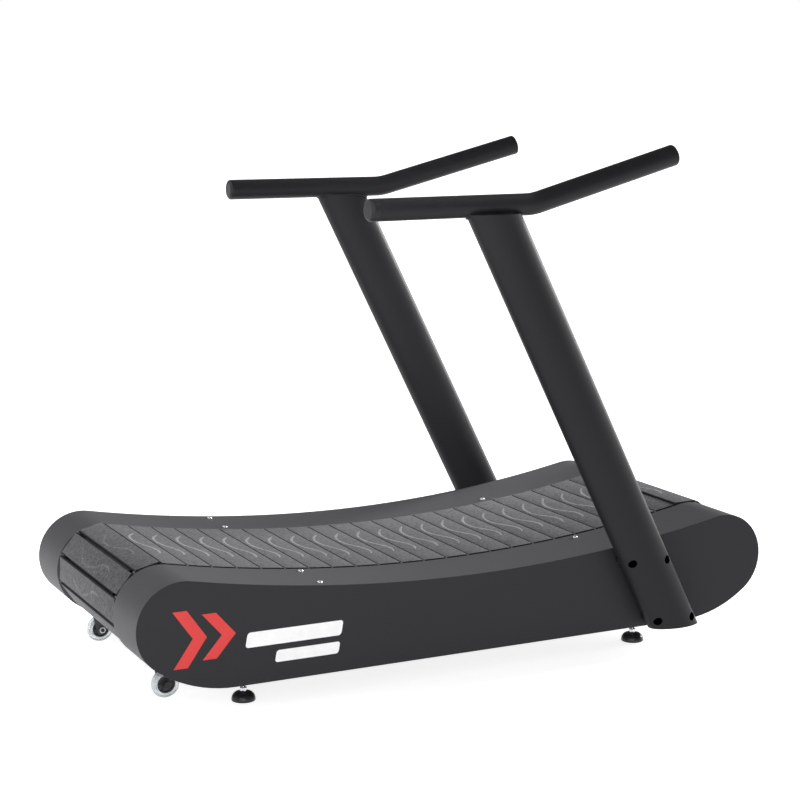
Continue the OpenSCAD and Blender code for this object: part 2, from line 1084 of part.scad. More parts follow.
module foot_lock_nuts() {
    color(steel)
        on_both_sides()
            for (x = foot_x)
                translate([x, foot_y, bracket_z - lock_nut_h])
                    linear_extrude(lock_nut_h)
                        difference() {
                            circle(lock_nut_r, $fn = 6);
                            circle(stem_r + hole_play);
                        }
}

module foot_pad(end, side) {
    on_side(side)
        color(plastic_black)
            translate([foot_x[end], foot_y, 0])
                rotate_extrude()
                    polygon(concat(
                        [[0, 0], [foot_r - 1, 0], [foot_r, 1], [foot_r, pad_rim_h]],
                        arc([foot_r - pad_dome_r, pad_rim_h], pad_dome_r, 10, 80, 8),
                        [[pad_neck_r, pad_h], [0, pad_h]]
                    ));
}

// The threaded stem, with the hexagon that a spanner turns
module foot_stem(end, side) {
    on_side(side)
        color(steel)
            translate([foot_x[end], foot_y, pad_h + 0.3]) {
                cylinder(r = stem_hex_r, h = 8, $fn = 6);
                cylinder(r = stem_r, h = stem_top - pad_h);
            }
}

module rear_left_foot_pad() {
    foot_pad(REAR, LEFT);
}

module rear_right_foot_pad() {
    foot_pad(REAR, RIGHT);
}

module front_left_foot_pad() {
    foot_pad(FRONT, LEFT);
}

module front_right_foot_pad() {
    foot_pad(FRONT, RIGHT);
}

module rear_left_foot_stem() {
    foot_stem(REAR, LEFT);
}

module rear_right_foot_stem() {
    foot_stem(REAR, RIGHT);
}

module front_left_foot_stem() {
    foot_stem(FRONT, LEFT);
}

module front_right_foot_stem() {
    foot_stem(FRONT, RIGHT);
}

// ---- Drawing ----

left_rail();
right_rail();
cross_tubes();
outrigger_tubes();
left_side_panel();
right_side_panel();
left_skin();
right_skin();
left_upright();
right_upright();
left_handlebar();
right_handlebar();
rear_bar_caps();
front_bar_caps();
left_upright_plate();
right_upright_plate();
upright_bolts();
upright_washers();
skin_screws();
foot_brackets();
foot_lock_nuts();
front_bearings();
rear_bearings();
bearing_bolts();
left_track_rollers();
right_track_rollers();
roller_studs();
wheel_bolts();
wheel_nuts();
front_axle();
front_pulleys();
front_slats();
front_treads();
front_drive_belts();
rear_axle();
rear_pulleys();
rear_slats();
rear_treads();
rear_drive_belts();
top_slats();
top_treads();
top_drive_belts();
bottom_slats();
bottom_treads();
bottom_drive_belts();
left_wheel_tyre();
left_wheel_hub();
left_wheel_bearings();
right_wheel_tyre();
right_wheel_hub();
right_wheel_bearings();
rear_left_foot_pad();
rear_right_foot_pad();
front_left_foot_pad();
front_right_foot_pad();
rear_left_foot_stem();
rear_right_foot_stem();
front_left_foot_stem();
front_right_foot_stem();
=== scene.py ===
"""A curved manual treadmill: the looks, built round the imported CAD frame. Metres, +X forward, +Z up."""

import json
import math

import bmesh
import bpy
import numpy as np
from mathutils import Matrix, Vector

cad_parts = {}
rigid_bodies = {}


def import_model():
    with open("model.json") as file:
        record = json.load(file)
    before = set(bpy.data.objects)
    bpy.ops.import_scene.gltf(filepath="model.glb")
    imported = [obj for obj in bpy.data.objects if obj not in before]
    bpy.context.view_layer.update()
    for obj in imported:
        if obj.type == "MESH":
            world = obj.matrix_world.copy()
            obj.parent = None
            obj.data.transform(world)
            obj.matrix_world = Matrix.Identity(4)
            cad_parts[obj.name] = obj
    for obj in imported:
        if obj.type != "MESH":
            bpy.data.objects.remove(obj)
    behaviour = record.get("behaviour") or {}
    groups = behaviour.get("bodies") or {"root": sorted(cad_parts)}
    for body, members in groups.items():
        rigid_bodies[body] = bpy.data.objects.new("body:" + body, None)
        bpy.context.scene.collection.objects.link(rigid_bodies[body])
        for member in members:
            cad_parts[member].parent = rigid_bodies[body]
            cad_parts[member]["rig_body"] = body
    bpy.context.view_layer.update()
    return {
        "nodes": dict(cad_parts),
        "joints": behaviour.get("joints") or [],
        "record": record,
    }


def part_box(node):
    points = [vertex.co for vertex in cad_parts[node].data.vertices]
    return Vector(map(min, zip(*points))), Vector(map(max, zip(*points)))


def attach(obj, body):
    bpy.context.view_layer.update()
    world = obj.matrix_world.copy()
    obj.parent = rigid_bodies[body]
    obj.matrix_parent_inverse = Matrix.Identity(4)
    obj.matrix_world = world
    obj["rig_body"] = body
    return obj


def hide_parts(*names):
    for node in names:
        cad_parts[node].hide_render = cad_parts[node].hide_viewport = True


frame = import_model()
MM = 0.001
JOINTS = {j["name"]: j for j in frame["joints"]}
# The last ring of a closed tube lies on its first, and points this close are joined
RING_JOIN = 1e-7


def as_mesh(name, bm):
    """The finished mesh of what was built in bm, which is set free."""
    mesh = bpy.data.meshes.new(name)
    bm.to_mesh(mesh)
    bm.free()
    return mesh


def around(count):
    """Angles at equal steps round a full turn."""
    return [2.0 * math.pi * k / count for k in range(count)]


# ---- Camera, floor and light ----

CAMERA_PLACE = (-2.258, -4.659, 1.527)
CAMERA_TURN, CAMERA_DOWN = math.radians(26.66), math.radians(9.30)
SENSOR_WIDTH, LENS = 36.0, 86.625
LENS_SHIFT = (-0.033375, -0.01275)
SKY_LIGHT = 0.21
LAMP_ANGLE = 25.0
FLOOR_HALF = 40.0
FLOOR_GLOW = 0.80


def make_camera():
    """The camera stands behind the runner's right, a little above the handlebars."""
    data = bpy.data.cameras.new("camera")
    data.sensor_width = SENSOR_WIDTH
    data.lens = LENS
    data.shift_x, data.shift_y = LENS_SHIFT
    data.clip_start, data.clip_end = 0.1, 100.0
    cam = bpy.data.objects.new("camera", data)
    cam.location = CAMERA_PLACE
    cam.rotation_euler = (math.pi / 2 - CAMERA_DOWN, 0.0, -CAMERA_TURN)
    bpy.context.scene.collection.objects.link(cam)
    bpy.context.scene.camera = cam


def area_light(name, place, target, size, power, spread=180.0):
    """A soft box that shines at the target; its beam opens by the spread, in degrees."""
    data = bpy.data.lights.new(name, "AREA")
    data.shape = "RECTANGLE"
    data.size, data.size_y = size
    data.energy = power
    data.spread = math.radians(spread)
    light = bpy.data.objects.new(name, data)
    light.location = place
    aim = Vector(target) - Vector(place)
    light.rotation_euler = aim.to_track_quat("-Z", "Y").to_euler()
    bpy.context.scene.collection.objects.link(light)


def far_lamp(name, towards, strength):
    """A lamp so far off that its light does not fade along the machine."""
    data = bpy.data.lights.new(name, "SUN")
    data.angle = math.radians(LAMP_ANGLE)
    data.energy = strength
    light = bpy.data.objects.new(name, data)
    light.rotation_euler = (-Vector(towards)).to_track_quat("-Z", "Y").to_euler()
    bpy.context.scene.collection.objects.link(light)


def make_sky():
    """White where the camera sees it, and dimmer as a light, so that black paint stays black."""
    world = bpy.data.worlds.new("studio")
    bpy.context.scene.world = world
    world.use_nodes = True
    nodes, links = world.node_tree.nodes, world.node_tree.links
    seen = nodes["Background"]
    seen.inputs["Color"].default_value = (1.0, 1.0, 1.0, 1.0)
    dim = nodes.new("ShaderNodeBackground")
    dim.inputs["Color"].default_value = (0.96, 0.98, 1.0, 1.0)
    dim.inputs["Strength"].default_value = SKY_LIGHT
    path = nodes.new("ShaderNodeLightPath")
    mix = nodes.new("ShaderNodeMixShader")
    links.new(path.outputs["Is Camera Ray"], mix.inputs["Fac"])
    links.new(dim.outputs[0], mix.inputs[1])
    links.new(seen.outputs[0], mix.inputs[2])
    links.new(mix.outputs[0], nodes["World Output"].inputs["Surface"])


def make_studio():
    """A white floor under a pale sky, with a low lamp in front and soft boxes behind, beside and above."""
    bpy.context.scene.view_settings.view_transform = "Standard"
    make_sky()
    far_lamp("lamp_front", (0.919, 0.195, 0.342), 5.2)
    area_light("box_rear", (-2.9, 0.3, 1.5), (-0.4, 0.0, 0.3), (1.6, 1.6), 13)
    area_light("box_side", (-2.6, -2.4, 1.0), (-0.7, -0.4, 0.2), (1.4, 1.4), 14)
    area_light("box_top", (-1.25, 0.8, 1.95), (-0.7, 0.1, 0.3), (1.2, 1.2), 13)
    area_light("box_far", (-1.5, -1.3, 2.5), (0.45, 0.45, 0.65), (0.5, 0.5), 2.2, 22.0)
    area_light("box_fill", (-2.6, -7.5, 1.7), (0.2, 0.0, 0.8), (3.4, 2.8), 110)
    bm = bmesh.new()
    bmesh.ops.create_grid(bm, x_segments=2, y_segments=2, size=FLOOR_HALF)
    mesh = as_mesh("floor", bm)
    floor = bpy.data.objects.new("floor", mesh)
    bpy.context.scene.collection.objects.link(floor)
    mesh.materials.append(plain_floor())


# ---- Materials ----


class Nodes:
    """A small helper that adds shader nodes to one material."""

    def __init__(self, name):
        self.material = bpy.data.materials.new(name)
        self.material.use_nodes = True
        self.tree = self.material.node_tree
        self.shader = self.tree.nodes["Principled BSDF"]
        self.place = self.add("ShaderNodeTexCoord").outputs["Object"]

    def add(self, kind, **values):
        node = self.tree.nodes.new(kind)
        for key, value in values.items():
            setattr(node, key, value)
        return node

    def link(self, out, into):
        self.tree.links.new(out, into)

    def noise(self, scale, detail=3.0, roughness=0.6, stretch=None):
        node = self.add("ShaderNodeTexNoise")
        node.inputs["Scale"].default_value = scale
        node.inputs["Detail"].default_value = detail
        node.inputs["Roughness"].default_value = roughness
        self.link(self.stretched(stretch), node.inputs["Vector"])
        return node.outputs["Fac"]

    def stretched(self, stretch):
        if stretch is None:
            return self.place
        mapping = self.add("ShaderNodeMapping")
        mapping.inputs["Scale"].default_value = stretch
        self.link(self.place, mapping.inputs["Vector"])
        return mapping.outputs["Vector"]

    def spots(self, scale):
        node = self.add("ShaderNodeTexVoronoi")
        node.inputs["Scale"].default_value = scale
        self.link(self.place, node.inputs["Vector"])
        return node.outputs["Distance"]

    def ramp(self, fac, stops):
        """stops: (position, colour) pairs, where a colour is a grey value or an RGB tuple."""
        node = self.add("ShaderNodeValToRGB")
        ramp = node.color_ramp
        while len(ramp.elements) < len(stops):
            ramp.elements.new(0.5)
        for element, (position, colour) in zip(ramp.elements, stops):
            element.position = position
            rgb = colour if isinstance(colour, tuple) else (colour,) * 3
            element.color = (*rgb, 1.0)
        self.link(fac, node.inputs["Fac"])
        return node.outputs["Color"]

    def mix(self, a, b, fac, kind="MIX"):
        """Each input is an output of another node, a colour or a number."""
        node = self.add("ShaderNodeMix", data_type="RGBA", blend_type=kind)
        for value, socket in ((fac, node.inputs[0]), (a, node.inputs[6]), (b, node.inputs[7])):
            if isinstance(value, bpy.types.NodeSocket):
                self.link(value, socket)
            elif isinstance(value, tuple):
                socket.default_value = (*value, 1.0)
            else:
                socket.default_value = value
        return node.outputs[2]

    def bump(self, height, strength, distance, below=None):
        node = self.add("ShaderNodeBump")
        node.inputs["Strength"].default_value = strength
        node.inputs["Distance"].default_value = distance
        self.link(height, node.inputs["Height"])
        if below is not None:
            self.link(below, node.inputs["Normal"])
        return node.outputs["Normal"]

    def set(self, **values):
        """Gives the shader's inputs their values, and returns the finished material."""
        names = {"color": "Base Color", "rough": "Roughness", "metal": "Metallic", "normal": "Normal",
                 "specular": "Specular IOR Level", "coat": "Coat Weight", "coat_rough": "Coat Roughness",
                 "through": "Transmission Weight", "ior": "IOR", "sheen": "Sheen Weight"}
        for key, value in values.items():
            socket = self.shader.inputs[names[key]]
            if isinstance(value, bpy.types.NodeSocket):
                self.link(value, socket)
            elif isinstance(value, tuple):
                socket.default_value = (*value, 1.0)
            else:
                socket.default_value = value
        return self.material


PEEL_DEPTH = 0.015 * MM
PAINT_VARIATION = 0.015


def powder_coat(name, colour, rough, grain=1.0, specular=0.15):
    """Powder-coated metal: a fine orange peel, slightly uneven in tone and gloss."""
    n = Nodes(name)
    dark, light = (tuple(c * k for c in colour) for k in (1.0 - PAINT_VARIATION, 1.0 + PAINT_VARIATION))
    clouds = n.ramp(n.noise(5.0, 4.0), [(0.35, dark), (0.65, light)])
    specks = n.ramp(n.noise(1400.0, 2.0), [(0.35, 0.98), (0.7, 1.02)])
    tone = n.mix(clouds, specks, 1.0, "MULTIPLY")
    gloss = n.ramp(n.noise(18.0, 5.0), [(0.3, rough - 0.01), (0.7, rough + 0.01)])
    peel = n.bump(n.noise(650.0, 3.0), 0.25 * grain, PEEL_DEPTH)
    peel = n.bump(n.noise(2200.0, 2.0), 0.15 * grain, PEEL_DEPTH / 2.0, peel)
    return n.set(color=tone, rough=gloss, normal=peel, specular=specular)


def tread_rubber(name, base, light, speckle):
    """Moulded rubber with pale and dark crumbs and dusty patches; speckle sets how strong they are."""
    n = Nodes(name)
    dark, pale = (tuple(c * k for c in base) for k in (0.90, 1.10))
    clouds = n.ramp(n.noise(14.0, 5.0, 0.7), [(0.3, dark), (0.7, pale)])
    grains = n.ramp(n.noise(120.0, 4.0, 0.75), [(0.36, 1.0 - 0.55 * speckle), (0.64, 1.0 + 0.6 * speckle)])
    crumbs = n.ramp(n.noise(480.0, 3.0, 0.8), [(0.40, 1.0 - 0.4 * speckle), (0.62, 1.0 + 0.45 * speckle)])
    tone = n.mix(n.mix(clouds, grains, 1.0, "MULTIPLY"), crumbs, 1.0, "MULTIPLY")
    flecks = n.ramp(n.spots(420.0), [(0.10, 0.40 * speckle), (0.22, 0.0)])
    tone = n.mix(tone, light, flecks)
    gloss = n.ramp(n.noise(40.0, 4.0), [(0.3, 0.66), (0.7, 0.80)])
    skin = n.bump(n.noise(480.0, 4.0, 0.7), 0.35, 0.00015)
    n.shader.inputs["Sheen Roughness"].default_value = 0.45
    return n.set(color=tone, rough=gloss, normal=skin, specular=0.2, sheen=0.10)


def metal(name, colour, rough, brushed=None, scratches=0.3):
    """Bare metal; brushed is the stretch of its grain along X, Y and Z."""
    n = Nodes(name)
    tone = n.ramp(n.noise(30.0, 4.0), [(0.3, tuple(c * 0.88 for c in colour)), (0.7, colour)])
    grain = n.noise(220.0, 4.0, 0.7, brushed or (1.0, 1.0, 1.0))
    gloss = n.ramp(grain, [(0.3, max(0.04, rough - 0.08)), (0.7, rough + 0.1)])
    normal = n.bump(grain, scratches, 0.0002)
    return n.set(color=tone, rough=gloss, normal=normal, metal=1.0)


def plastic(name, colour, rough, grain=500.0, strength=0.3, specular=0.4):
    """Moulded plastic with a fine grain."""
    n = Nodes(name)
    dark, pale = (tuple(c * k for c in colour) for k in (0.85, 1.15))
    tone = n.ramp(n.noise(25.0, 4.0), [(0.3, dark), (0.7, pale)])
    gloss = n.ramp(n.noise(60.0, 4.0), [(0.3, rough - 0.06), (0.7, rough + 0.06)])
    normal = n.bump(n.noise(grain, 3.0), strength, 0.00008)
    return n.set(color=tone, rough=gloss, normal=normal, specular=specular)


def belt_rubber(name):
    """Black drive-belt rubber with a faint woven backing."""
    n = Nodes(name)
    tone = n.ramp(n.noise(50.0, 4.0), [(0.3, 0.010), (0.7, 0.022)])
    weave = n.add("ShaderNodeTexWave", wave_type="BANDS", bands_direction="Y")
    weave.inputs["Scale"].default_value = 320.0
    weave.inputs["Distortion"].default_value = 1.0
    n.link(n.place, weave.inputs["Vector"])
    normal = n.bump(weave.outputs["Fac"], 0.3, 0.0003)
    return n.set(color=tone, rough=0.7, normal=normal)


def clear_urethane(name):
    """A cast wheel tyre: milky, glossy and a little scuffed."""
    n = Nodes(name)
    tone = n.ramp(n.noise(40.0, 4.0), [(0.3, (0.72, 0.76, 0.78)), (0.7, (0.88, 0.91, 0.92))])
    gloss = n.ramp(n.noise(120.0, 4.0), [(0.35, 0.12), (0.7, 0.32)])
    normal = n.bump(n.noise(300.0, 3.0), 0.15, 0.0002)
    return n.set(color=tone, rough=gloss, normal=normal, through=0.65, ior=1.45, coat=0.3, coat_rough=0.1)


def print_ink(name, colour):
    """Screen-printed ink: flat colour with pinholes and a faint drag."""
    n = Nodes(name)
    tone = n.ramp(n.noise(35.0, 5.0), [(0.3, tuple(c * 0.90 for c in colour)), (0.7, colour)])
    pin = n.ramp(n.noise(1500.0, 2.0), [(0.25, 0.75), (0.4, 1.0)])
    tone = n.mix(tone, pin, 1.0, "MULTIPLY")
    normal = n.bump(n.noise(900.0, 3.0), 0.2, 0.0001)
    return n.set(color=tone, rough=0.42, normal=normal)


def plain_floor():
    """A white studio floor, lit partly from within so that it stays white to the horizon."""
    n = Nodes("floor")
    tone = n.ramp(n.noise(1.5, 3.0), [(0.3, 0.78), (0.7, 0.82)])
    n.shader.inputs["Emission Color"].default_value = (1.0, 1.0, 1.0, 1.0)
    n.shader.inputs["Emission Strength"].default_value = FLOOR_GLOW
    return n.set(color=tone, rough=0.9, specular=0.0)


MATERIALS = {
    "frame_paint": powder_coat("frame_paint", (0.055, 0.056, 0.060), 0.55),
    # panel_paint and skin_paint are two copies of one dark paint: the side panels' darker copy is painted
    # shade and the skins' paler copy is painted light
    "panel_paint": powder_coat("panel_paint", (0.025, 0.025, 0.028), 0.50, 0.8),
    "skin_paint": powder_coat("skin_paint", (0.082, 0.082, 0.086), 0.55, 1.0, 0.2),
    "tube_paint": powder_coat("tube_paint", (0.0145, 0.0145, 0.016), 0.45, 0.8),
    "cap_plastic": plastic("cap_plastic", (0.012, 0.012, 0.013), 0.42, specular=0.2),
    "black_steel": powder_coat("black_steel", (0.012, 0.012, 0.013), 0.35, 0.5, 0.35),
    "zinc_steel": metal("zinc_steel", (0.62, 0.63, 0.66), 0.32),
    "screw_chrome": metal("screw_chrome", (0.92, 0.92, 0.93), 0.36, None, 0.1),
    "roller_steel": metal("roller_steel", (0.58, 0.59, 0.61), 0.28, (1.0, 12.0, 1.0)),
    "drum_alloy": metal("drum_alloy", (0.62, 0.63, 0.64), 0.34, (1.0, 8.0, 1.0)),
    "slat_alloy": metal("slat_alloy", (0.040, 0.041, 0.044), 0.45, (10.0, 1.0, 1.0)),
    "tread_rubber": tread_rubber("tread_rubber", (0.083, 0.083, 0.088), (0.25, 0.25, 0.26), 0.8),
    "belt_rubber": belt_rubber("belt_rubber"),
    "wheel_clear": clear_urethane("wheel_clear"),
    "hub_plastic": plastic("hub_plastic", (0.030, 0.031, 0.034), 0.38),
    "pad_rubber": plastic("pad_rubber", (0.016, 0.015, 0.017), 0.30, 700.0, 0.35),
    "stem_chrome": metal("stem_chrome", (0.80, 0.81, 0.84), 0.14, None, 0.1),
}
# The wave rib is moulded, but its paler rubber is a painted highlight; the rear wrap's copy is dimmer, a
# shaded copy of it
DIM_HIGHLIGHT_WAVE_RUBBER = tread_rubber("dim_highlight_wave_rubber", (0.125, 0.125, 0.130), (0.30, 0.30, 0.31), 0.7)
HIGHLIGHT_WAVE_RUBBER = tread_rubber("highlight_wave_rubber", (0.235, 0.235, 0.242), (0.42, 0.42, 0.43), 0.5)
# Near-black rubber for the treads' sides and ends: painted shade
SHADED_SIDE_RUBBER = tread_rubber("shaded_side_rubber", (0.016, 0.016, 0.017), (0.05, 0.05, 0.05), 0.6)
# Pale plastic for the joint tabs: painted light, standing in for the lit skin seen through each joint
LIT_GAP_PLASTIC = plastic("lit_gap_plastic", (0.16, 0.16, 0.165), 0.5)
INK_RED = print_ink("ink_red", (0.67, 0.024, 0.021))
INK_WHITE = print_ink("ink_white", (0.93, 0.93, 0.93))
SLOT_OF = {s["node"]: s["material_slot"] for s in frame["record"]["subparts"]}


# ---- Pieces made from CAD nodes ----

SAME_POINT = 0.002 * MM
FLAT_ANGLE, HARD_ANGLE = math.radians(0.2), math.radians(32.0)
EASE_SEGMENTS = 2


def new_piece(name, bm, materials, smooth=30.0):
    """Makes an object of the mesh, smooth but for edges sharper than the given angle in degrees."""
    mesh = as_mesh(name, bm)
    for material in materials:
        mesh.materials.append(material)
    mesh.polygons.foreach_set("use_smooth", [True] * len(mesh.polygons))
    mesh.set_sharp_from_angle(angle=math.radians(smooth))
    piece = bpy.data.objects.new(name, mesh)
    bpy.context.scene.collection.objects.link(piece)
    return piece


def body_of(node):
    """The body of the mechanism that a CAD node belongs to."""
    return frame["nodes"][node]["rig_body"]


def adopt(piece, node):
    """Puts a finished piece in a CAD node's place and on its body."""
    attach(piece, body_of(node))
    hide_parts(node)


def welded_mesh(node):
    """A CAD node's mesh with the seams between its faces joined."""
    bm = bmesh.new()
    bm.from_mesh(frame["nodes"][node].data)
    bmesh.ops.remove_doubles(bm, verts=bm.verts, dist=SAME_POINT)
    return bm


def eased_copy(node, width):
    """A CAD node with its hard edges eased by a small round, as made parts have."""
    bm = welded_mesh(node)
    bmesh.ops.dissolve_limit(bm, angle_limit=FLAT_ANGLE, verts=bm.verts, edges=bm.edges)
    hard = [e for e in bm.edges if len(e.link_faces) == 2 and e.calc_face_angle(0.0) > HARD_ANGLE]
    bmesh.ops.bevel(bm, geom=hard, offset=width, offset_type="OFFSET", segments=EASE_SEGMENTS,
                    profile=0.5, affect="EDGES", clamp_overlap=True)
    piece = new_piece("eased_" + node, bm, [MATERIALS[SLOT_OF[node]]])
    piece.modifiers.new("flat_faces_shade_flat", "WEIGHTED_NORMAL").keep_sharp = True
    adopt(piece, node)


# How wide the eased edges are, in millimetres
EASED = {
    "left_side_panel": 0.8, "right_side_panel": 0.8, "left_skin": 0.8, "right_skin": 0.8,
    "rear_bar_caps": 0.5, "front_bar_caps": 0.5,
    "left_rail": 0.8, "right_rail": 0.8, "cross_tubes": 1.0, "outrigger_tubes": 1.0,
    "foot_brackets": 0.8, "left_upright_plate": 0.8, "right_upright_plate": 0.8,
    "upright_bolts": 0.5, "skin_screws": 0.2, "foot_lock_nuts": 0.6, "wheel_nuts": 0.6,
    "wheel_bolts": 0.5, "bearing_bolts": 0.5, "front_bearings": 0.8, "rear_bearings": 0.8,
    "left_handlebar": 0.4, "right_handlebar": 0.4, "left_upright": 0.5, "right_upright": 0.5,
    "front_pulleys": 0.6, "rear_pulleys": 0.6,
}


# ---- Belt ----

# Heights are measured from the line where the slats meet the drive belts. A tread fills the CAD's plain one,
# but for the last bit of height, which is the moulded wave's
SLAT_HALF_W = 31.4 * MM
SLAT_HALF_LEN = 237.0 * MM
TREAD_LOW, TREAD_TOP, WAVE_TOP = 4.0 * MM, 11.6 * MM, 12.0 * MM
TREAD_ROUND, ROUND_STEPS = 1.4 * MM, 4
# The belt's path as in the CAD: that line's radius on the drums, how far back the belt rests, as a part of
# the distance between slats, and how many slats lie on each run
PITCH_R = 103.0 * MM
BELT_PHASE = 0.2
SLATS_TOP, SLATS_WRAP, SLATS_BOTTOM = 23, 5, 24
SLAT_TOTAL = SLATS_TOP + 2 * SLATS_WRAP + SLATS_BOTTOM


def belt_places(ahead=0.0, ride_r=PITCH_R):
    """The place of every slat, by run, with its Z out of the belt, as in the CAD.

    With ahead, they lie that part of a slat's spacing further on; ride_r is their radius on the drums."""
    pivot = {n: Vector(JOINTS[n]["pos_m"]) for n in
             ("belt_top_run", "front_drum_turn", "rear_drum_turn", "belt_bottom_run")}
    arc, drum, low = pivot["belt_top_run"], pivot["front_drum_turn"], pivot["belt_bottom_run"]
    top_r = (arc - drum).length - PITCH_R
    bottom_r = (low - drum).length + PITCH_R
    top_angle = math.asin(drum.x / (top_r + PITCH_R))
    sag_angle = math.asin(drum.x / (bottom_r - PITCH_R))
    top_half = top_r * top_angle
    wrap = PITCH_R * (math.pi + top_angle - sag_angle)
    pitch = 2.0 * (top_half + wrap + bottom_r * sag_angle) / SLAT_TOTAL

    def turned(centre, angle, radius):
        turn = Matrix.Translation(centre) @ Matrix.Rotation(angle, 4, "Y")
        return turn @ Matrix.Translation((0, 0, radius))

    def on_drum(centre, i, side):
        angle = ((i - side * BELT_PHASE) * pitch - top_half) / PITCH_R - top_angle
        return turned(centre, side * angle, ride_r)

    last = (SLATS_TOP - 1) // 2
    wrap_end = last + 1 + SLATS_WRAP
    places = {"top": [], "front": [], "rear": [], "bottom": []}
    for i in range(-last, last + 1):
        places["top"].append(turned(arc, -(i + ahead - BELT_PHASE) * pitch / top_r, -top_r))
    for i in range(last + 1, wrap_end):
        places["front"].append(on_drum(drum, i + ahead, 1))
    for i in range(wrap_end - 1, last, -1):
        places["rear"].append(on_drum(pivot["rear_drum_turn"], i - ahead, -1))
    for i in range(wrap_end, wrap_end + SLATS_BOTTOM):
        angle = -(SLAT_TOTAL / 2 + BELT_PHASE - ahead - i) * pitch / bottom_r
        places["bottom"].append(turned(low, angle, -bottom_r) @ Matrix.Rotation(math.pi, 4, "Y"))
    return places


def add_loft(bm, rings, closed_ends=True, material=0):
    """Joins closed rings of points into a tube; the first and last rings become its ends."""
    loops = [[bm.verts.new(p) for p in ring] for ring in rings]
    count = len(loops[0])
    for a, b in zip(loops, loops[1:]):
        for k in range(count):
            face = bm.faces.new((a[k], a[(k + 1) % count], b[(k + 1) % count], b[k]))
            face.material_index = material
    if closed_ends:
        bm.faces.new(loops[0][::-1]).material_index = material
        bm.faces.new(loops[-1]).material_index = material


def add_block(bm):
    """A slat's tread: a bar along Y with rounded upper edges and softly rounded ends."""
    quarter = [math.pi / 2 * k / ROUND_STEPS for k in range(ROUND_STEPS + 1)]

    def section(top):
        rise = [(TREAD_ROUND * (1.0 - math.cos(a)), TREAD_ROUND * (1.0 - math.sin(a))) for a in quarter]
        rear = [(dx - SLAT_HALF_W, top - dz) for dx, dz in rise]
        rise_front = [(-x, z) for x, z in reversed(rear)]
        return [(-SLAT_HALF_W, TREAD_LOW), *rear, *rise_front, (SLAT_HALF_W, TREAD_LOW)]

    ends = [(SLAT_HALF_LEN - TREAD_ROUND * (1.0 - math.cos(a)),
             TREAD_TOP - TREAD_ROUND * (1.0 - math.sin(a))) for a in quarter]
    stations = [(-y, top) for y, top in ends] + [(y, top) for y, top in reversed(ends)]
    add_loft(bm, [[(x, y, z) for x, z in section(top)] for y, top in stations])


def smooth_path(points, per_span):
    """A Catmull-Rom curve through the points, with a number of steps between each two."""
    pts = [np.array(p, float) for p in points]
    pts = [2 * pts[0] - pts[1], *pts, 2 * pts[-1] - pts[-2]]
    out = []
    for a, b, c, d in zip(pts, pts[1:], pts[2:], pts[3:]):
        for k in range(per_span):
            t = k / per_span
            out.append(0.5 * (2 * b + (c - a) * t + (2 * a - 5 * b + 4 * c - d) * t * t
                              + (3 * b - a - 3 * c + d) * t ** 3))
    out.append(pts[-2])
    return out


# The moulded wave: along the belt and across it, in millimetres from the slat's middle
WAVE = [(14, 128), (3, 112), (-8, 94), (-17, 70), (-20.5, 42), (-19.5, 14), (-12, -12), (-2, -36),
        (6, -58), (9.5, -82), (7, -104), (1, -119)]
WAVE_HALF_W, WAVE_SINK = 4.6 * MM, 0.6 * MM
WAVE_STEPS, WAVE_ARC_STEPS = 6, 6
# The rib narrows to this part of its width over this many steps at each end
WAVE_TIP, WAVE_TAPER_STEPS = 0.35, 7


def add_wave(bm):
    """A low rounded rib that follows the wave and tapers at both ends."""
    path = smooth_path(WAVE, WAVE_STEPS)
    rings = []
    count = len(path)
    low = TREAD_TOP - WAVE_SINK
    for k, point in enumerate(path):
        ahead = path[min(k + 1, count - 1)] - path[max(k - 1, 0)]
        ahead /= np.linalg.norm(ahead)
        side = np.array([-ahead[1], ahead[0]])
        taper = min(1.0, min(k, count - 1 - k) / WAVE_TAPER_STEPS)
        width = WAVE_HALF_W * (WAVE_TIP + (1.0 - WAVE_TIP) * taper)
        ring = []
        for step in range(WAVE_ARC_STEPS + 1):
            angle = math.pi * step / WAVE_ARC_STEPS
            offset = side * math.cos(angle) * width
            z = low + (WAVE_TOP - low) * math.sin(angle)
            ring.append((point[0] * MM + offset[0], point[1] * MM + offset[1], z))
        rings.append(ring)
    add_loft(bm, rings, material=1)


TAB_HALF_L, TAB_Y, TAB_LOW, TAB_TOP = 1.6 * MM, (234.0 * MM, 240.0 * MM), 3.0 * MM, 10.8 * MM
TAB_CHAMFER, TAB_SLOPE, TAB_SLOPE_DROP = 0.5 * MM, 1.0 * MM, 1.2 * MM
SEAL_HALF_L, SEAL_HALF_W, SEAL_LOW, SEAL_TOP = 5.0 * MM, 188.0 * MM, -1.6 * MM, -0.4 * MM


def add_tabs(bm):
    """Small pale tabs at each end of a joint between slats; their pale colour stands in for the lit skin
    seen through the gap: painted light.
    """
    for side in (-1, 1):
        near, far = (side * y for y in TAB_Y)
        rings = []
        for y, drop in ((near, 0.0), (far - side * TAB_SLOPE, 0.0), (far, TAB_SLOPE_DROP)):
            top = TAB_TOP - drop
            shoulder = top - TAB_CHAMFER
            section = [(-1, TAB_LOW), (-1, shoulder), (-0.6, top), (0.6, top), (1, shoulder), (1, TAB_LOW)]
            rings.append([(x * TAB_HALF_L, y, z) for x, z in section])
        add_loft(bm, rings)


def add_seal(bm):
    """The flexible strip under a joint that keeps dust out; its edges are thinned."""
    middle = (SEAL_LOW + SEAL_TOP) / 2
    section = [(-1, middle), (-0.7, SEAL_TOP), (0.7, SEAL_TOP),
               (1, middle), (0.7, SEAL_LOW), (-0.7, SEAL_LOW)]
    rings = [[(x * SEAL_HALF_L, y, z) for x, z in section] for y in (-SEAL_HALF_W, SEAL_HALF_W)]
    add_loft(bm, rings, material=1)


# Faces that point less far up than this get the near-black rubber as painted shade, by whether they look
# along or across the belt; the rest are the tread's top
TOP_ALONG, TOP_ACROSS = 0.35, 0.8
BELT_SMOOTH = 40.0


